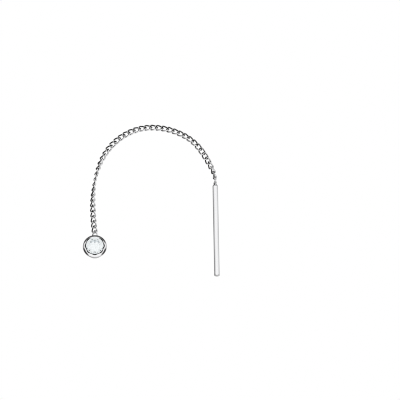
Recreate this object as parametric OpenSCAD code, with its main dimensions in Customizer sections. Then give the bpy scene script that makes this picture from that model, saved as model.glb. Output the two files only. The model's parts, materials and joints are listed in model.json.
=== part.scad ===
// Threader earring lying flat: a straight bar, a fine curb chain and a round stone in a rubbed-over cup.
// The cup rests on its flat back at the origin and faces up. The chain leaves it along +Y, arches over
// to +X and comes down to the bar, which points along -Y. All of it lies on the plane Z = 0.

/* [Bar] */
// Diameter of the bar that passes through the ear
bar_d = 1; // [0.8:0.05:1.4]
// Length of the bar over its two rounded ends
bar_l = 17.85; // [12:0.05:30]
// Height of the round dome on the end that the chain is soldered to
bar_dome_h = 0.42; // [0.2:0.01:0.5]
// Height of the low crown on the free end
bar_crown_h = 0.15; // [0.1:0.05:0.35]

/* [Chain] */
// Number of links, with the soldered one at each end
link_count = 43; // [20:1:58]
// Diameter of the wire of a link
wire_d = 0.26; // [0.2:0.01:0.32]
// Length left free in a link's opening between the wires of its two neighbours
link_free_l = 0.64; // [0.5:0.02:1]
// Play in the width of a link's opening beside the two strands that pass through it
link_side_play = 0.12; // [0.1:0.01:0.3]
// Turn of a link from one end to the other, which makes the chain lie flat
link_twist = 90; // [60:5:110]
// Play between two neighbouring links along the chain
link_play = 0.12; // [0.08:0.01:0.3]
// Depth that a soldered link is sunk into the cup and into the bar
solder_depth = 0.15; // [0.08:0.01:0.25]

/* [Stone] */
// Diameter of the round brilliant at its girdle
stone_d = 3.7; // [3:0.1:6]
// Width of the table from corner to corner
table_d = 2.18; // [1.6:0.02:2.5]
// Height of the straight band at the girdle
girdle_h = 0.08; // [0.05:0.01:0.2]
// Diameter of the circle on which the lower girdle facets meet
lower_d = 0.925; // [0.6:0.025:1.2]
// Slope of the main facets above the girdle
crown_angle = 33; // [25:1:38]
// Slope of the main facets below the girdle
pavilion_angle = 42; // [36:1:44]

/* [Cup] */
// Clearance between the stone and its cup
stone_gap = 0.06; // [0.04:0.01:0.12]
// Thickness of the wall round the girdle
cup_wall = 0.28; // [0.2:0.02:0.5]
// Distance that the rim is rubbed over the edge of the stone
rim_overlap = 0.17; // [0.1:0.01:0.25]
// Thickness of the rim at its inner edge
lip_h = 0.06; // [0.04:0.01:0.15]
// Thickness of the metal under the point of the stone
cup_back = 0.3; // [0.15:0.01:0.6]
// Diameter of the flat back
base_d = 3.2; // [2.4:0.1:3.6]
// Height of the soldered link above the back
loop_z = 1.1; // [0.9:0.05:1.3]

/* [Hidden] */
link_open_l = link_free_l + 2 * wire_d;
link_open_w = link_side_play + 2 * wire_d;
link_l = link_open_l + 2 * wire_d;
link_w = link_open_w + 2 * wire_d;
pitch = link_open_l - link_play;
// Links over which the chain comes down from the cup to the surface
landing_links = 7;
// Lift that keeps the sloping links clear of the surface
link_lift = 0.045;
// Direction of the bar seen from above, counted from +X
bar_heading = -89;

// How the chain lies: share of its length, heading from +X and roll about its own line
SHARE = 0;
HEADING = 1;
ROLL = 2;
chain_route = [
    [0.00, 97, -28],
    [0.12, 92, -42],
    [0.18, 86.5, -60],
    [0.26, 78.4, -88],
    [0.30, 72, -66],
    [0.37, 61, -36],
    [0.44, 44.3, -5],
    [0.50, 30, -8],
    [0.62, -2, -14],
    [0.75, -29, -18],
    [0.80, -42, -22],
    [0.87, -60, 10],
    [0.92, -64, 45],
    [0.95, -66, 68],
    [1.00, -87, 90]
];

stone_r = stone_d / 2;
table_r = table_d / 2;
cup_r = stone_r + stone_gap + cup_wall;
rim_r = stone_r - rim_overlap;
collar_r = cup_r - rim_r;

// The stone is cut eight-fold, so neighbouring main facets are 45 degrees apart
FOLD = 8;
main_step = 360 / FOLD;
half_step = main_step / 2;
star_r = (table_r * cos(half_step) + stone_r) / 2;
lower_r = lower_d / 2;
// The lower girdle facets bulge this far out of the cone through the girdle's corners
bulge_z = lower_r * (1 - cos(half_step)) * tan(pavilion_angle);
culet_z = cup_back + stone_gap / cos(pavilion_angle) + bulge_z;
girdle_low_z = culet_z + stone_r * tan(pavilion_angle);
girdle_top_z = girdle_low_z + girdle_h;
table_z = girdle_top_z + (stone_r - table_r) * tan(crown_angle);
star_z = girdle_top_z + (stone_r - star_r * cos(half_step)) * tan(crown_angle);
lower_z = girdle_low_z - (stone_r - lower_r * cos(half_step)) * tan(pavilion_angle);

// The underside of the rim keeps its clearance from the ridges between the upper girdle facets
ridge_slope = (star_z - girdle_top_z) / (stone_r - star_r);
ridge_gap = stone_gap * sqrt(1 + ridge_slope * ridge_slope);
lip_z = girdle_top_z + rim_overlap * ridge_slope + ridge_gap;
cup_h = lip_z + lip_h;
shoulder_z = cup_h - collar_r;
cup_r_at_loop = base_d / 2 + (cup_r - base_d / 2) * loop_z / shoulder_z;

ARC_STEPS = 8;
BEND_STEPS = 6;
WIRE_SIDES = 6;

function unit(v) = v / norm(v);
function along(heading) = [cos(heading), sin(heading)];
function ring(r, z, count, first, step) =
    [for (i = [0 : count - 1]) [r * cos(first + i * step), r * sin(first + i * step), z]];

// One link about its own middle: an oval of wire in X and Y, turned about X by link_twist over its length
bend_r = (link_open_w + wire_d) / 2;
straight_l = link_l - link_w;
oval = concat(
    [for (i = [0 : BEND_STEPS])
        let (a = -90 + 180 * i / BEND_STEPS) [straight_l / 2 + bend_r * cos(a), bend_r * sin(a)]],
    [[0, bend_r]],
    [for (i = [0 : BEND_STEPS])
        let (a = 90 + 180 * i / BEND_STEPS) [-straight_l / 2 + bend_r * cos(a), bend_r * sin(a)]],
    [[0, -bend_r]]
);
STATIONS = len(oval);
function turn_at(x) = -link_twist * x / link_l;
wire_line = [for (p = oval) [p.x, p.y * cos(turn_at(p.x)), p.y * sin(turn_at(p.x))]];
function tangent(i) = unit(wire_line[(i + 1) % STATIONS] - wire_line[(i + STATIONS - 1) % STATIONS]);
function face_normal(i) =
    let (a = turn_at(wire_line[i].x), n = [0, -sin(a), cos(a)], t = tangent(i))
    unit(n - (n * t) * t);
wire_points = [
    for (i = [0 : STATIONS - 1])
        let (n = face_normal(i), b = cross(tangent(i), n))
        for (j = [0 : WIRE_SIDES - 1])
            let (a = 360 * j / WIRE_SIDES)
            wire_line[i] + wire_d / 2 * (cos(a) * n + sin(a) * b)
];
function wire_vertex(i, j) = (i % STATIONS) * WIRE_SIDES + j % WIRE_SIDES;
wire_faces = [
    for (i = [0 : STATIONS - 1])
        for (j = [0 : WIRE_SIDES - 1])
            for (face = [
                [wire_vertex(i, j), wire_vertex(i + 1, j), wire_vertex(i + 1, j + 1)],
                [wire_vertex(i, j), wire_vertex(i + 1, j + 1), wire_vertex(i, j + 1)]
            ])
                face
];

// Height of a link's middle when it lies on the surface with this roll
function rest_z(roll) =
    link_lift + wire_d / 2 - min([for (p = wire_line) p.y * sin(roll) + p.z * cos(roll)]);

// Heading, roll and place of every link, the soldered ones first and last
last = link_count - 1;
function route(i, column) =
    lookup(i / last, [for (row = chain_route) [row[SHARE], row[column]]]);
headings = [for (i = [0 : last]) route(i, HEADING)];
rolls = [for (i = [0 : last]) route(i, ROLL)];
link_xy = [
    for (i = 0, p = [0, cup_r_at_loop + link_l / 2 - solder_depth];
        i <= last;
        i = i + 1,
        p = i > last ? p : p + pitch / 2 * (along(headings[i - 1]) + along(headings[i])))
        p
];
function landing(i) = i < landing_links ? pow(1 - i / landing_links, 2) : 0;
link_z = [
    for (i = [0 : last])
        i == last
            ? max(bar_d / 2, rest_z(rolls[i]))
            : rest_z(rolls[i]) + (loop_z - rest_z(rolls[0])) * landing(i)
];
link_slope = [
    for (i = [0 : last])
        let (before = max(i - 1, 0), after = min(i + 1, last))
        i == last ? 0 : asin((link_z[before] - link_z[after]) / ((after - before) * pitch))
];
bar_xy = link_xy[last] + (link_l / 2 - solder_depth) * along(headings[last]);

// Names of the free links, numbered from the cup
function two_digits(i) = str(i < 10 ? "0" : "", i);
link_names = [for (i = [1 : last - 1]) str("chain_link_", two_digits(i))];

module link() {
    polyhedron(wire_points, wire_faces);
}

module placed_link(i) {
    translate([link_xy[i].x, link_xy[i].y, link_z[i]])
        rotate([rolls[i], link_slope[i], headings[i]])
            link();
}

// Outline of a rounded end of the bar, from its edge to its top at [0, 0]
function end_outline(h) =
    let (r = (bar_d * bar_d / 4 + h * h) / (2 * h), a_max = asin(bar_d / 2 / r))
    [for (i = [0 : ARC_STEPS])
        let (a = a_max * (1 - i / ARC_STEPS))
        [r * sin(a), r * (1 - cos(a))]];

// The bar lies along -Y from its dome, with the last link of the chain soldered to that dome
module threader_bar() {
    dome = end_outline(bar_dome_h);
    crown = end_outline(bar_crown_h);
    free_end = [for (i = [ARC_STEPS : -1 : 0]) [crown[i].x, bar_l - crown[i].y]];
    color("silver") {
        translate([bar_xy.x, bar_xy.y, bar_d / 2])
            rotate([0, 90, bar_heading])
                rotate_extrude($fn = 48)
                    polygon(concat(dome, free_end));
        placed_link(last);
    }
}

// The cup is a turned tapering wall with a rounded collar over the stone, and the first link soldered on
module bezel_cup() {
    collar = [for (i = [0 : ARC_STEPS])
        let (a = 90 * i / ARC_STEPS)
        [rim_r + collar_r * cos(a), shoulder_z + collar_r * sin(a)]];
    seat_r = stone_r + stone_gap;
    seat_top_z = girdle_top_z + ridge_gap - stone_gap * ridge_slope;
    seat_low_z = cup_back + seat_r * tan(pavilion_angle);
    color("silver") {
        rotate_extrude($fn = 64)
            polygon(concat(
                [[0, 0], [base_d / 2, 0]],
                collar,
                [[rim_r, lip_z], [seat_r, seat_top_z], [seat_r, seat_low_z], [0, cup_back]]
            ));
        placed_link(0);
    }
}

// Round brilliant: table, 8 stars, 8 kites and 16 upper girdle facets, and 16 facets and 8 mains below
module stone() {
    g = 2 * FOLD;
    table = 0;
    star = FOLD;
    upper = 2 * FOLD;
    under = upper + g;
    lower = under + g;
    culet = lower + FOLD;
    points = concat(
        ring(table_r, table_z, FOLD, 0, main_step),
        ring(star_r, star_z, FOLD, half_step, main_step),
        ring(stone_r, girdle_top_z, g, 0, half_step),
        ring(stone_r, girdle_low_z, g, 0, half_step),
        ring(lower_r, lower_z, FOLD, half_step, main_step),
        [[0, 0, culet_z]]
    );
    faces = concat(
        [[for (i = [FOLD - 1 : -1 : 0]) table + i]],
        [for (i = [0 : FOLD - 1])
            let (n = (i + 1) % FOLD, p = (i + FOLD - 1) % FOLD,
                 main = 2 * i, mid = 2 * i + 1, next = (2 * i + 2) % g)
            for (face = [
                [table + i, table + n, star + i],
                [table + i, star + i, upper + main, star + p],
                [star + i, upper + mid, upper + main],
                [star + i, upper + next, upper + mid],
                [upper + main, upper + mid, under + mid, under + main],
                [upper + mid, upper + next, under + next, under + mid],
                [under + main, under + mid, lower + i],
                [under + mid, under + next, lower + i],
                [under + main, lower + i, culet, lower + p]
            ])
                face]
    );
    color("aliceblue")
        polyhedron(points, faces);
}

threader_bar();
bezel_cup();
stone();
for (i = [1 : last - 1])
    color("silver") placed_link(i);
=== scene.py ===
import json
import math

import bmesh
import bpy
import numpy
from mathutils import Euler, Matrix, Vector


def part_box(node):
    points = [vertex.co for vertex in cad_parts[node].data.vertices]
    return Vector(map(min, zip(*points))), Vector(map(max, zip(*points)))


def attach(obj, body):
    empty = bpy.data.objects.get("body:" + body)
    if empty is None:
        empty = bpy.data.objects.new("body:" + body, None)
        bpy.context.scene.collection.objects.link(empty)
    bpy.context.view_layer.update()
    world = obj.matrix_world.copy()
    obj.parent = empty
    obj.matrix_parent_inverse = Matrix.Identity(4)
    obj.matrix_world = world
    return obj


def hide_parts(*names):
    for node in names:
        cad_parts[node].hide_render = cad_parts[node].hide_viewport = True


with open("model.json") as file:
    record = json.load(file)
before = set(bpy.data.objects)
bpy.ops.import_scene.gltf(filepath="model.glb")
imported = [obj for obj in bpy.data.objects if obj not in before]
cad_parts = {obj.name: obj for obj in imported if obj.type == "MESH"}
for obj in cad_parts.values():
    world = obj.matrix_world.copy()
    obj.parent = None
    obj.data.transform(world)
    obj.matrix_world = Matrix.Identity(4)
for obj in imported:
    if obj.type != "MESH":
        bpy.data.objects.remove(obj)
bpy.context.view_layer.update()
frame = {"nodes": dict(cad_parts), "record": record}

# Camera
# A long lens looks down at the lying earring from the side of the bar's free end, well above the surface.
# The image is taken to be 400 px wide, and the middle of the cup's back lies at CUP_PX in it.
MM = 0.001
IMAGE_PX = 400
MM_PER_PX = 0.1826
CUP_PX = (95.15, 250.07)
ELEVATION = math.radians(70)
LENS_MM = 800
SENSOR_MM = 36
CLIP_NEAR = 0.01
CLIP_FAR = 10

view_width = IMAGE_PX * MM_PER_PX * MM
distance = view_width * LENS_MM / SENSOR_MM
aim = Vector((
    (IMAGE_PX / 2 - CUP_PX[0]) * MM_PER_PX * MM,
    (CUP_PX[1] - IMAGE_PX / 2) * MM_PER_PX * MM / math.sin(ELEVATION),
    0,
))
bpy.ops.object.camera_add(
    location=aim + distance * Vector((0, -math.cos(ELEVATION), math.sin(ELEVATION))),
    rotation=(math.pi / 2 - ELEVATION, 0, 0),
)
camera = bpy.context.object
camera.data.lens = LENS_MM
camera.data.sensor_width = SENSOR_MM
camera.data.clip_start = CLIP_NEAR
camera.data.clip_end = CLIP_FAR
bpy.context.scene.camera = camera

# Studio
# A white sweep under a broad soft light, with a dark far side and dark flags to the left and right, which
# give polished metal its dark lines. The stone sees light there. The camera sees the sweep as plain white, so
# that the links' openings stay clear, and metal sees a glow from below in its place.
FLOOR_SIZE = 0.6
FLOOR_LIGHT = 1.0
FLOOR_GREY = 0.2
# A light is a strength. A start, full or end place is the part of a direction of length 1 that points away
# from the camera or to a side. The horizon is half the band where the light from above meets the glow.
SKY_LIGHT = 0.98
FAR_LIGHT = 0.13
FAR_START = 0.44
FAR_FULL = 0.64
STONE_FAR_LIGHT = 0.9
SWEEP_LIGHT = 0.65
SWEEP_FAR_LIGHT = 0.05
SWEEP_FADE_START = 0.45
SWEEP_FADE_END = 0.75
LEFT_LIGHT = 0.5
RIGHT_LIGHT = 1.0
HORIZON = 0.05
FLAG_START = 0.6
FLAG_FULL = 0.8
FLAG_NEAR_DEPTH = 0.92
FLAG_LEFT_DEPTH = 0.35
FLAG_RIGHT_DEPTH = 0.15
FLAG_FAR = 0.25
LIGHT_BOUNCES = 32
PIXEL_FILTER = 1.1


class Shade:
    """A value in a node tree. An operator between values adds the Math node that works it out."""

    def __init__(self, tree, socket=None):
        self.tree = tree
        self.socket = socket

    def add(self, kind, settings=None, inputs=None, output=0):
        """Adds a node with its settings and the values or links of its sockets, and gives an output of it."""
        node = self.tree.nodes.new(kind)
        for name, value in (settings or {}).items():
            setattr(node, name, value)
        for name, value in (inputs or {}).items():
            if isinstance(value, Shade):
                self.tree.links.new(value.socket, node.inputs[name])
            else:
                node.inputs[name].default_value = value
        return Shade(self.tree, node.outputs[output] if node.outputs else None)

    def math(self, operation, first, second):
        return self.add("ShaderNodeMath", {"operation": operation}, {0: first, 1: second})

    def __add__(self, other):
        return self.math("ADD", self, other)

    def __sub__(self, other):
        return self.math("SUBTRACT", self, other)

    def __mul__(self, other):
        return self.math("MULTIPLY", self, other)

    def __rsub__(self, other):
        return self.math("SUBTRACT", other, self)

    __radd__ = __add__
    __rmul__ = __mul__

    def between(self, low, high):
        """0 below low and 1 above high, with a smooth step from one to the other."""
        return self.add(
            "ShaderNodeMapRange",
            {"interpolation_type": "SMOOTHSTEP"},
            {"Value": self, "From Min": low, "From Max": high},
        )

    def size(self):
        """The value without its sign."""
        return self.math("ABSOLUTE", self, 0)

    def axis(self, name):
        """The X, Y or Z part of a vector."""
        return self.add("ShaderNodeSeparateXYZ", inputs={"Vector": self}, output=name)

    def noise(self, scale, detail):
        """Noise at the place that a vector gives."""
        inputs = {"Vector": self, "Scale": scale, "Detail": detail}
        return self.add("ShaderNodeTexNoise", inputs=inputs, output="Fac")


def node_tree(owner):
    """The emptied node tree of a material or of the world."""
    owner.use_nodes = True
    owner.node_tree.nodes.clear()
    return Shade(owner.node_tree)


world = bpy.data.worlds.new("soft_sky")
bpy.context.scene.world = world
sky = node_tree(world)
direction = sky.add("ShaderNodeTexCoord", output="Generated")
across, away, up = (direction.axis(name) for name in "XYZ")
through_stone = sky.add("ShaderNodeLightPath", output="Is Transmission Ray")
far_light = through_stone * (STONE_FAR_LIGHT - FAR_LIGHT) + FAR_LIGHT
overhead = SKY_LIGHT - away.between(FAR_START, FAR_FULL) * (SKY_LIGHT - far_light)
below = SWEEP_LIGHT - away.between(SWEEP_FADE_START, SWEEP_FADE_END) * (SWEEP_LIGHT - SWEEP_FAR_LIGHT)
above = up.between(-HORIZON, HORIZON)
rightward = across.between(-1, 1)
side_light = rightward * (RIGHT_LIGHT - LEFT_LIGHT) + LEFT_LIGHT
flag_far_depth = rightward * (FLAG_RIGHT_DEPTH - FLAG_LEFT_DEPTH) + FLAG_LEFT_DEPTH
flag_depth = FLAG_NEAR_DEPTH - away.between(0, FLAG_FAR) * (FLAG_NEAR_DEPTH - flag_far_depth)
flags = 1 - across.size().between(FLAG_START, FLAG_FULL) * flag_depth * (1 - through_stone)
glow = (overhead * above + below * side_light * (1 - above)) * flags
background = sky.add("ShaderNodeBackground", inputs={"Color": (1, 1, 1, 1), "Strength": glow})
sky.add("ShaderNodeOutputWorld", inputs={"Surface": background})

bpy.ops.mesh.primitive_plane_add(size=FLOOR_SIZE, location=(aim.x, aim.y, 0))
floor = bpy.context.object
floor.name = "floor"
floor.visible_glossy = False
sweep = bpy.data.materials.new("white_sweep")
tree = node_tree(sweep)
paper = tree.add("ShaderNodeBsdfDiffuse", inputs={"Color": (FLOOR_GREY, FLOOR_GREY, FLOOR_GREY, 1)})
lit = tree.add("ShaderNodeEmission", inputs={"Color": (1, 1, 1, 1), "Strength": FLOOR_LIGHT})
seen = tree.add("ShaderNodeLightPath", output="Is Camera Ray")
surface = tree.add("ShaderNodeMixShader", inputs={0: seen, 1: paper, 2: lit})
tree.add("ShaderNodeOutputMaterial", inputs={"Surface": surface})
floor.data.materials.append(sweep)

bpy.context.scene.view_settings.view_transform = "Standard"
bpy.context.scene.cycles.max_bounces = LIGHT_BOUNCES
bpy.context.scene.cycles.glossy_bounces = LIGHT_BOUNCES
bpy.context.scene.cycles.transmission_bounces = LIGHT_BOUNCES
bpy.context.scene.cycles.filter_width = PIXEL_FILTER

# Chain
# Curb links of round silver wire, each bent to an oval and given a quarter turn so that the chain lies flat.
# A torus is halved, drawn apart, bridged and twisted into one link, and each copy lies where its solid lies.
WIRE_D = 0.26 * MM
OPEN_L = 1.16 * MM
OPEN_W = 0.64 * MM
LINK_TWIST = math.radians(-90)
LINK_PITCH = 1.04 * MM
LINK_COUNT = 43
LOOP_Z = 1.1 * MM
END_LINK_Z = 0.625 * MM
BEND_STEPS = 14
STRAIGHT_CUTS = 3
WIRE_SIDES = 14
SAME_PLACE_DIGITS = 8
# Share of the chain's length, heading from +X, and roll about the chain's own line, the last two in degrees
CHAIN_ROUTE = (
    (0.00, 97, -28),
    (0.12, 92, -42),
    (0.18, 86.5, -60),
    (0.26, 78.4, -88),
    (0.30, 72, -66),
    (0.37, 61, -36),
    (0.44, 44.3, -5),
    (0.50, 30, -8),
    (0.62, -2, -14),
    (0.75, -29, -18),
    (0.80, -42, -22),
    (0.87, -60, 10),
    (0.92, -64, 45),
    (0.95, -66, 68),
    (1.00, -87, 90),
)
SILVER = (0.93, 0.93, 0.94)
# Painted shade: a near-black colour on the inner side of each link's wire, where neighbouring links shade it
PAINTED_SHADE_COLOUR = (0.055, 0.055, 0.053)
# How far in from the middle of the wire its painted shade starts and is full, in shares of the wire's radius
WIRE_SHADE_START = -0.6
WIRE_SHADE_FULL = 0.2
PATCHINESS = 0.5
NOISE_MIDDLE = 0.5
SHADE_LEAST = 0.05
SHADE_MOST = 0.9
POLISH = 0.07
MARK_ROUGHNESS = 0.06
SHADE_ROUGHNESS = 0.3
MARK_DEPTH = 0.001 * MM
WAVE_DEPTH = 0.002 * MM
# Noise scales, in waves to the metre
MARK_SCALE = 9000
WAVE_SCALE = 900
PATCH_SCALE = 2500
# The sockets of a Mix node that mixes colours
FIRST_COLOUR = 6
SECOND_COLOUR = 7
MIXED_COLOUR = 2


def silver_finish(name, along_marks=None, dark=PAINTED_SHADE_COLOUR):
    """Polished silver with fine marks, slight waves, and a painted shade where the point attribute says.

    along_marks turns the tree and its place coordinates into coordinates that stretch the marks.
    """
    material = bpy.data.materials.new(name)
    tree = node_tree(material)
    place = tree.add("ShaderNodeTexCoord", output="Object")
    marks = (along_marks(tree, place) if along_marks else place).noise(MARK_SCALE, detail=3)
    waves = place.noise(WAVE_SCALE, detail=1)
    patches = place.noise(PATCH_SCALE, detail=2)
    # Painted shade: the stored amount, varied in patches, mixes the silver towards the dark colour
    shade_amount = tree.add("ShaderNodeAttribute", {"attribute_name": "tarnish"}, output="Fac")
    tarnish = (shade_amount + (patches - NOISE_MIDDLE) * PATCHINESS * shade_amount).between(SHADE_LEAST, SHADE_MOST)
    colour = tree.add(
        "ShaderNodeMix",
        {"data_type": "RGBA"},
        {0: tarnish, FIRST_COLOUR: (*SILVER, 1), SECOND_COLOUR: (*dark, 1)},
        output=MIXED_COLOUR,
    )
    dents = tree.add("ShaderNodeBump", inputs={"Height": waves, "Strength": 1.0, "Distance": WAVE_DEPTH})
    scratches = tree.add(
        "ShaderNodeBump",
        inputs={"Height": marks, "Strength": 1.0, "Distance": MARK_DEPTH, "Normal": dents},
    )
    shader = tree.add(
        "ShaderNodeBsdfPrincipled",
        inputs={
            "Base Color": colour,
            "Metallic": 1.0,
            "Roughness": marks * MARK_ROUGHNESS + tarnish * SHADE_ROUGHNESS + POLISH,
            "Normal": scratches,
        },
    )
    tree.add("ShaderNodeOutputMaterial", inputs={"Surface": shader})
    return material


def start_piece(name):
    """Names the primitive that was just added and opens it in edit mode with nothing selected."""
    piece = bpy.context.object
    piece.name = name
    bpy.ops.object.mode_set(mode="EDIT")
    bpy.ops.mesh.select_all(action="DESELECT")
    return piece


def pick(piece, kind, wanted):
    """Selects only the faces or edges of the piece in edit mode for which wanted is true."""
    bpy.ops.mesh.select_mode(type="FACE" if kind == "faces" else "EDGE")
    bpy.ops.mesh.select_all(action="DESELECT")
    mesh = bmesh.from_edit_mesh(piece.data)
    for part in getattr(mesh, kind):
        if wanted(part):
            part.select_set(True)
    bmesh.update_edit_mesh(piece.data)


def middle(edge):
    """The point half-way along an edge."""
    return (edge.verts[0].co + edge.verts[1].co) / 2


def mark_painted_shade(piece, amount=lambda place: 0):
    """Stores the painted shade at each point, from 0 to 1. With no amount it is all bright."""
    values = [min(max(amount(vertex.co), 0), 1) for vertex in piece.data.vertices]
    piece.data.attributes.new("tarnish", "FLOAT", "POINT").data.foreach_set("value", values)


def finish_piece(piece, material, node):
    """Gives a piece its finish, lets it ride on the frame and stand for its solid."""
    piece.data.materials.clear()
    piece.data.materials.append(material)
    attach(piece, "root")
    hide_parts(node)


link_silver = silver_finish("link_silver")
link_l = OPEN_L + 2 * WIRE_D
link_w = OPEN_W + 2 * WIRE_D
half_straight = (link_l - link_w) / 2
bend_r = (OPEN_W + WIRE_D) / 2
bpy.ops.object.select_all(action="DESELECT")
bpy.ops.mesh.primitive_torus_add(
    major_radius=bend_r,
    minor_radius=WIRE_D / 2,
    major_segments=2 * BEND_STEPS,
    minor_segments=WIRE_SIDES,
)
link = start_piece("link")
pick(link, "faces", lambda face: face.calc_center_median().x > 0)
bpy.ops.mesh.split()
bpy.ops.transform.translate(value=(half_straight, 0, 0))
pick(link, "faces", lambda face: face.calc_center_median().x < 0)
bpy.ops.transform.translate(value=(-half_straight, 0, 0))
for side in (1, -1):
    pick(link, "edges", lambda edge: edge.is_boundary and side * middle(edge).y > 0)
    bpy.ops.mesh.bridge_edge_loops(number_cuts=STRAIGHT_CUTS)
bpy.ops.object.mode_set(mode="OBJECT")


def inside_of_wire(place):
    """Painted shade at a point of the link: none outside, full on the wire's side that faces the opening."""
    from_bend = math.hypot(max(abs(place.x) - half_straight, 0), place.y)
    inward = (bend_r - from_bend) / (WIRE_D / 2)
    return (inward - WIRE_SHADE_START) / (WIRE_SHADE_FULL - WIRE_SHADE_START)


mark_painted_shade(link, inside_of_wire)
twist = link.modifiers.new("twist", "SIMPLE_DEFORM")
twist.deform_method = "TWIST"
twist.deform_axis = "X"
twist.angle = LINK_TWIST
bpy.ops.object.modifier_apply(modifier="twist")
bpy.ops.object.shade_smooth()

last = LINK_COUNT - 1
shares, route_headings, route_rolls = zip(*CHAIN_ROUTE)
headings = [math.radians(numpy.interp(i / last, shares, route_headings)) for i in range(LINK_COUNT)]
rolls = [math.radians(numpy.interp(i / last, shares, route_rolls)) for i in range(LINK_COUNT)]
link_nodes = {i: f"chain_link_{i:02d}" for i in range(1, last)}


def solid_middle(name):
    """The mean of a solid's corners, each counted once."""
    vertices = frame["nodes"][name].data.vertices
    corners = {tuple(round(value, SAME_PLACE_DIGITS) for value in vertex.co) for vertex in vertices}
    return sum(map(Vector, corners), Vector()) / len(corners)


centres = {i: solid_middle(name) for i, name in link_nodes.items()}


def soldered_centre(end, neighbour, height):
    """Middle of a link that is soldered to the cup or the bar, half a pitch along each of two headings."""
    ways = [Vector((math.cos(headings[i]), math.sin(headings[i]), 0)) for i in (end, neighbour)]
    centre = centres[neighbour] + (ways[0] + ways[1]) * LINK_PITCH / 2 * (end - neighbour)
    centre.z = height
    return centre


centres[0] = soldered_centre(0, 1, LOOP_Z)
centres[last] = soldered_centre(last, last - 1, END_LINK_Z)


def placed_link(i, name):
    """A copy of the link, laid in its place along the chain."""
    before, after = max(i - 1, 0), min(i + 1, last)
    fall = centres[before].z - centres[after].z
    slope = 0 if i == last else math.asin(fall / ((after - before) * LINK_PITCH))
    copy = link.copy()
    copy.data = link.data.copy()
    copy.name = name
    bpy.context.scene.collection.objects.link(copy)
    turn = Euler((rolls[i], slope, headings[i])).to_matrix().to_4x4()
    copy.data.transform(Matrix.Translation(centres[i]) @ turn)
    return copy


for i, node in link_nodes.items():
    finish_piece(placed_link(i, f"curb_link_{i:02d}"), link_silver, node)

# Bar
# A straight drawn silver rod that passes through the ear, with a low crown on its free end.
# The chain's last link is soldered to the middle of the dome on its other end.
BAR_SIDES = 64
FREE_END_RISE = 0.15 * MM
DOME_RISE = 0.42 * MM
END_STEPS = 12
# The last ring stays half a step off the middle, so that a small flat face closes the end
END_FLAT_STEPS = 0.5
# A ring close to each end keeps the shading of the long sides even
END_RING_L = 0.1 * MM
EDGE_ROUNDING = 0.04 * MM
EDGE_STEPS = 3
BAR_ROUND_ABOVE = math.radians(40)
SMOOTH_BELOW = math.radians(35)
FLAT_FACE = 0.9
MARK_SQUEEZE = 0.02
SOLDER_R = 0.19 * MM
SOLDER_SHAPE = (1, 0.8, 0.8)
SOLDER_SIDES = 32
SEAM_MERGE = 0.00002 * MM

bar_mount = next(m for m in frame["record"]["mounts"] if m["name"] == "ear_bar")
bar_r = bar_mount["dims"]["r_mm"] * MM
bar_straight = bar_mount["dims"]["length_mm"] * MM
bar_axis = Vector(bar_mount["axis"])
bar_middle = Vector(bar_mount["pos_m"])


def drawn_marks(tree, place):
    """Coordinates that are squeezed along the bar, so that its marks run lengthwise."""
    turn = (0, 0, -math.atan2(bar_axis.y, bar_axis.x))
    return tree.add(
        "ShaderNodeMapping",
        {"vector_type": "POINT"},
        {"Vector": place, "Rotation": turn, "Scale": (MARK_SQUEEZE, 1, 1)},
    )


def select_only(piece):
    """Makes the piece the only one that is selected, and the active one."""
    bpy.ops.object.select_all(action="DESELECT")
    piece.select_set(True)
    bpy.context.view_layer.objects.active = piece


def pick_end(piece, end):
    """Selects the flat end face of a turned piece: the upper one for 1 and the lower one for -1."""
    pick(piece, "faces", lambda face: face.normal.z * end > FLAT_FACE)


def ring_out(radius, old_radius, rise):
    """Extrudes the selected end face by rise along Z and scales it from its old radius to the new one."""
    bpy.ops.mesh.extrude_region_move(TRANSFORM_OT_translate={"value": (0, 0, rise)})
    ratio = radius / old_radius
    bpy.ops.transform.resize(value=(ratio, ratio, 1))


def round_edges(piece, least_angle):
    """Rounds the edges of a turned piece that are sharper than least_angle."""
    bevel = piece.modifiers.new("edges", "BEVEL")
    bevel.width = EDGE_ROUNDING
    bevel.segments = EDGE_STEPS
    bevel.limit_method = "ANGLE"
    bevel.angle_limit = least_angle
    select_only(piece)
    bpy.ops.object.modifier_apply(modifier="edges")


def clean_seams(piece):
    """Splits the many-sided faces along the seams and takes out the flaps that have no thickness."""
    bpy.ops.object.mode_set(mode="EDIT")
    pick(piece, "faces", lambda face: len(face.verts) > 4)
    bpy.ops.mesh.quads_convert_to_tris()
    bpy.ops.mesh.select_all(action="SELECT")
    bpy.ops.mesh.remove_doubles(threshold=SEAM_MERGE)
    bpy.ops.mesh.dissolve_degenerate(threshold=SEAM_MERGE)
    mesh = bmesh.from_edit_mesh(piece.data)
    same_corners = {}
    for face in mesh.faces:
        same_corners.setdefault(frozenset(vertex.index for vertex in face.verts), []).append(face)
    flaps = [face for faces in same_corners.values() if len(faces) > 1 for face in faces]
    bmesh.ops.delete(mesh, geom=flaps, context="FACES")
    bmesh.update_edit_mesh(piece.data)
    bpy.ops.object.mode_set(mode="OBJECT")


def solder(piece, parts):
    """Melts the parts into the piece, so that they are one smooth body of metal."""
    select_only(piece)
    for part in parts:
        union = piece.modifiers.new("solder", "BOOLEAN")
        union.operation = "UNION"
        union.solver = "EXACT"
        union.object = part
        bpy.ops.object.modifier_apply(modifier="solder")
        bpy.data.objects.remove(part)
    clean_seams(piece)
    bpy.ops.object.shade_smooth_by_angle(angle=SMOOTH_BELOW)


def solder_bead(place):
    """A small flattened bead of solder where a link meets the cup or the bar."""
    bpy.ops.mesh.primitive_uv_sphere_add(
        segments=SOLDER_SIDES,
        ring_count=SOLDER_SIDES // 2,
        radius=SOLDER_R,
        location=place,
    )
    bead = start_piece("solder_bead")
    bpy.ops.mesh.select_all(action="SELECT")
    bpy.ops.transform.resize(value=SOLDER_SHAPE)
    bpy.ops.object.mode_set(mode="OBJECT")
    bpy.ops.object.transform_apply()
    mark_painted_shade(bead)
    return bead


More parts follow.
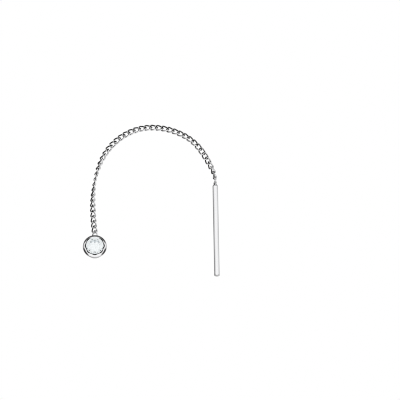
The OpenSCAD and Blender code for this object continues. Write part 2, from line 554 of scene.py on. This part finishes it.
bpy.ops.object.select_all(action="DESELECT")
bpy.ops.mesh.primitive_cylinder_add(vertices=BAR_SIDES, radius=bar_r, depth=bar_straight - 2 * END_RING_L)
bar = start_piece("ear_bar")
for end, rise in ((1, FREE_END_RISE), (-1, DOME_RISE)):
    round_r = (bar_r * bar_r + rise * rise) / (2 * rise)
    round_angle = math.asin(bar_r / round_r)
    pick_end(bar, end)
    ring_out(bar_r, bar_r, end * END_RING_L)
    radius, height = bar_r, 0
    for step in range(1, END_STEPS + 1):
        angle = round_angle * (1 - step / (END_STEPS + END_FLAT_STEPS))
        new_radius = round_r * math.sin(angle)
        new_height = rise - round_r * (1 - math.cos(angle))
        ring_out(new_radius, radius, end * (new_height - height))
        radius, height = new_radius, new_height
bpy.ops.object.mode_set(mode="OBJECT")
round_edges(bar, BAR_ROUND_ABOVE)
bar_turn = bar_axis.to_track_quat("Z", "Y").to_matrix().to_4x4()
bar.data.transform(Matrix.Translation(bar_middle) @ bar_turn)
mark_painted_shade(bar)
dome_top = bar_middle - bar_axis * (bar_straight / 2 + DOME_RISE)
solder(bar, [placed_link(last, "end_link"), solder_bead(dome_top)])
finish_piece(bar, silver_finish("drawn_silver", drawn_marks), "threader_bar")

# Stone
# A clear round brilliant. A round blank is cut by one plane for each facet, as a cutter grinds them:
# 8 stars, 8 kites and 16 small facets round the table, and 16 small ones and 8 mains down to the point.
STONE_R = 1.85 * MM
TABLE_R = 1.09 * MM
GIRDLE_H = 0.08 * MM
LOWER_R = 0.4625 * MM
CROWN_SLOPE = math.tan(math.radians(33))
PAVILION_SLOPE = math.tan(math.radians(42))
FOLD = 8
BLANK_SIDES = 96
STONE_TINT = (0.95, 0.99, 1.0)
ZIRCONIA_IOR = 2.15
CUT_MERGE = 1e-9
FACET_MERGE = 0.003 * MM

culet_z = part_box("stone")[0].z
half_turn = math.pi / FOLD
girdle_low_z = culet_z + STONE_R * PAVILION_SLOPE
girdle_top_z = girdle_low_z + GIRDLE_H
table_z = girdle_top_z + (STONE_R - TABLE_R) * CROWN_SLOPE
star_r = (TABLE_R * math.cos(half_turn) + STONE_R) / 2
star_z = girdle_top_z + (STONE_R - star_r * math.cos(half_turn)) * CROWN_SLOPE
lower_z = girdle_low_z - (STONE_R - LOWER_R * math.cos(half_turn)) * PAVILION_SLOPE


def on_stone(radius, turns, height):
    """A corner between facets, turned by a number of sixteenths."""
    return Vector((radius * math.cos(turns * half_turn), radius * math.sin(turns * half_turn), height))


def grind(corners):
    """Cuts off what lies outside the plane through three corners."""
    normal = (corners[1] - corners[0]).cross(corners[2] - corners[0]).normalized()
    if normal.dot(corners[0] - Vector((0, 0, girdle_low_z))) < 0:
        normal = -normal
    bpy.ops.mesh.select_all(action="SELECT")
    bpy.ops.mesh.bisect(
        plane_co=corners[0],
        plane_no=normal,
        use_fill=True,
        clear_outer=True,
        threshold=CUT_MERGE,
    )


bpy.ops.object.select_all(action="DESELECT")
bpy.ops.mesh.primitive_cylinder_add(
    vertices=BLANK_SIDES,
    radius=STONE_R,
    depth=table_z - culet_z,
    location=(0, 0, (table_z + culet_z) / 2),
)
brilliant = start_piece("brilliant")
bpy.ops.object.mode_set(mode="OBJECT")
bpy.ops.object.transform_apply()
bpy.ops.object.mode_set(mode="EDIT")
for n in range(0, 2 * FOLD, 2):
    table_corner = on_stone(TABLE_R, n, table_z)
    star_corners = [on_stone(star_r, n + side, star_z) for side in (1, -1)]
    grind([table_corner, *star_corners])
    grind([table_corner, on_stone(TABLE_R, n + 2, table_z), star_corners[0]])
    for side, star_corner in zip((1, -1), star_corners):
        grind([star_corner, *(on_stone(STONE_R, turns, girdle_top_z) for turns in (n, n + side))])
    lower_corners = [on_stone(LOWER_R, n + side, lower_z) for side in (1, -1)]
    grind([on_stone(0, 0, culet_z), *lower_corners])
    for side, lower_corner in zip((1, -1), lower_corners):
        grind([lower_corner, *(on_stone(STONE_R, turns, girdle_low_z) for turns in (n, n + side))])
bpy.ops.mesh.select_all(action="SELECT")
bpy.ops.mesh.remove_doubles(threshold=FACET_MERGE)
bpy.ops.object.mode_set(mode="OBJECT")

clear_stone = bpy.data.materials.new("clear_stone")
tree = node_tree(clear_stone)
shader = tree.add(
    "ShaderNodeBsdfPrincipled",
    inputs={
        "Base Color": (*STONE_TINT, 1),
        "Roughness": 0.0,
        "IOR": ZIRCONIA_IOR,
        "Transmission Weight": 1.0,
    },
)
tree.add("ShaderNodeOutputMaterial", inputs={"Surface": shader})
finish_piece(brilliant, clear_stone, "stone")

# Cup
# A silver cup, turned from one disc, that tapers to its flat back. Its rim is a round collar with a thin
# lip, rubbed over the stone's edge, and the chain's first link is soldered to its wall.
CUP_SIDES = 96
BASE_R = 1.6 * MM
STONE_GAP = 0.06 * MM
CUP_WALL = 0.28 * MM
RIM_OVERLAP = 0.17 * MM
LIP_W = 0.08 * MM
LIP_H = 0.05 * MM
CUP_BACK = 0.3 * MM
SEAT_POINT_R = 0.05 * MM
COLLAR_STEPS = 18
CUP_ROUND_ABOVE = math.radians(35)
# A painted shadow line runs along the lip in waves, one to each kite of the stone, and stops beside the loop.
# The seat has painted shade under the stone's left and right edges.
DARK_LINE = (0.02, 0.02, 0.02)
DARK_LINE_W = 0.14 * MM
DARK_LINE_FADE = 0.06 * MM
DARK_LINE_WAVE = 0.06 * MM
LOOP_GAP = 0.28 * MM
LOOP_GAP_POWER = 8
DARK_SEAT_W = 0.4 * MM
DARK_SEAT_NARROWNESS = 4

cup_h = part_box("bezel_cup")[1].z
first_h = CUP_BACK / 2
seat_r = STONE_R + STONE_GAP
cup_r = seat_r + CUP_WALL
rim_r = STONE_R - RIM_OVERLAP
lip_r = rim_r - LIP_W
collar_r = cup_r - rim_r
shoulder_z = cup_h - collar_r
ridge_slope = (star_z - girdle_top_z) / (STONE_R - star_r)
seat_top_z = girdle_top_z + STONE_GAP * (math.hypot(1, ridge_slope) - ridge_slope)
wall_slope = (cup_r - BASE_R) / shoulder_z


def turned_marks(tree, place):
    """Distance from the cup's axis and height, so that its marks run round it."""
    off_axis = tree.add(
        "ShaderNodeVectorMath",
        {"operation": "LENGTH"},
        {0: tree.add("ShaderNodeVectorMath", {"operation": "MULTIPLY"}, {0: place, 1: (1, 1, 0)})},
        output="Value",
    )
    return tree.add("ShaderNodeCombineXYZ", inputs={"X": off_axis, "Z": place.axis("Z")})


section = []
for step in range(COLLAR_STEPS + 1):
    angle = math.pi / 2 * step / COLLAR_STEPS
    section.append((rim_r + collar_r * math.cos(angle), shoulder_z + collar_r * math.sin(angle)))
section += [(lip_r, cup_h), (lip_r, cup_h - LIP_H), (seat_r, seat_top_z)]
section += [(r, CUP_BACK + r * PAVILION_SLOPE) for r in (seat_r, seat_r - DARK_SEAT_W, SEAT_POINT_R)]

bpy.ops.object.select_all(action="DESELECT")
bpy.ops.mesh.primitive_cylinder_add(
    vertices=CUP_SIDES,
    radius=BASE_R,
    depth=first_h,
    location=(0, 0, first_h / 2),
)
cup = start_piece("cup")
bpy.ops.object.mode_set(mode="OBJECT")
bpy.ops.object.transform_apply()
bpy.ops.object.mode_set(mode="EDIT")
pick_end(cup, 1)
radius, height = BASE_R + wall_slope * first_h, first_h
bpy.ops.transform.resize(value=(radius / BASE_R, radius / BASE_R, 1))
for new_radius, new_height in section:
    ring_out(new_radius, radius, new_height - height)
    radius, height = new_radius, new_height
bpy.ops.object.mode_set(mode="OBJECT")
round_edges(cup, CUP_ROUND_ABOVE)


def beside_stone(place):
    """Painted shade at a point of the cup: a shadow line on the lip, the seat's sides, and none elsewhere."""
    from_axis = place.xy.length
    if place.z < shoulder_z:
        return 0
    under_lip = collar_r - LIP_H / 2
    if math.hypot(max(from_axis - rim_r, 0), place.z - shoulder_z) < under_lip:
        return 1 - DARK_SEAT_NARROWNESS * (1 - abs(place.x) / from_axis)
    width = DARK_LINE_W + DARK_LINE_WAVE * math.cos(FOLD * math.atan2(place.y, place.x))
    width -= LOOP_GAP * max(place.y / from_axis, 0) ** LOOP_GAP_POWER
    return 1 - (from_axis - lip_r - width) / DARK_LINE_FADE


mark_painted_shade(cup, beside_stone)
loop_foot = (0, BASE_R + wall_slope * LOOP_Z, LOOP_Z)
solder(cup, [placed_link(0, "loop_link"), solder_bead(loop_foot)])
finish_piece(cup, silver_finish("turned_silver", turned_marks, DARK_LINE), "bezel_cup")

bpy.data.objects.remove(link)
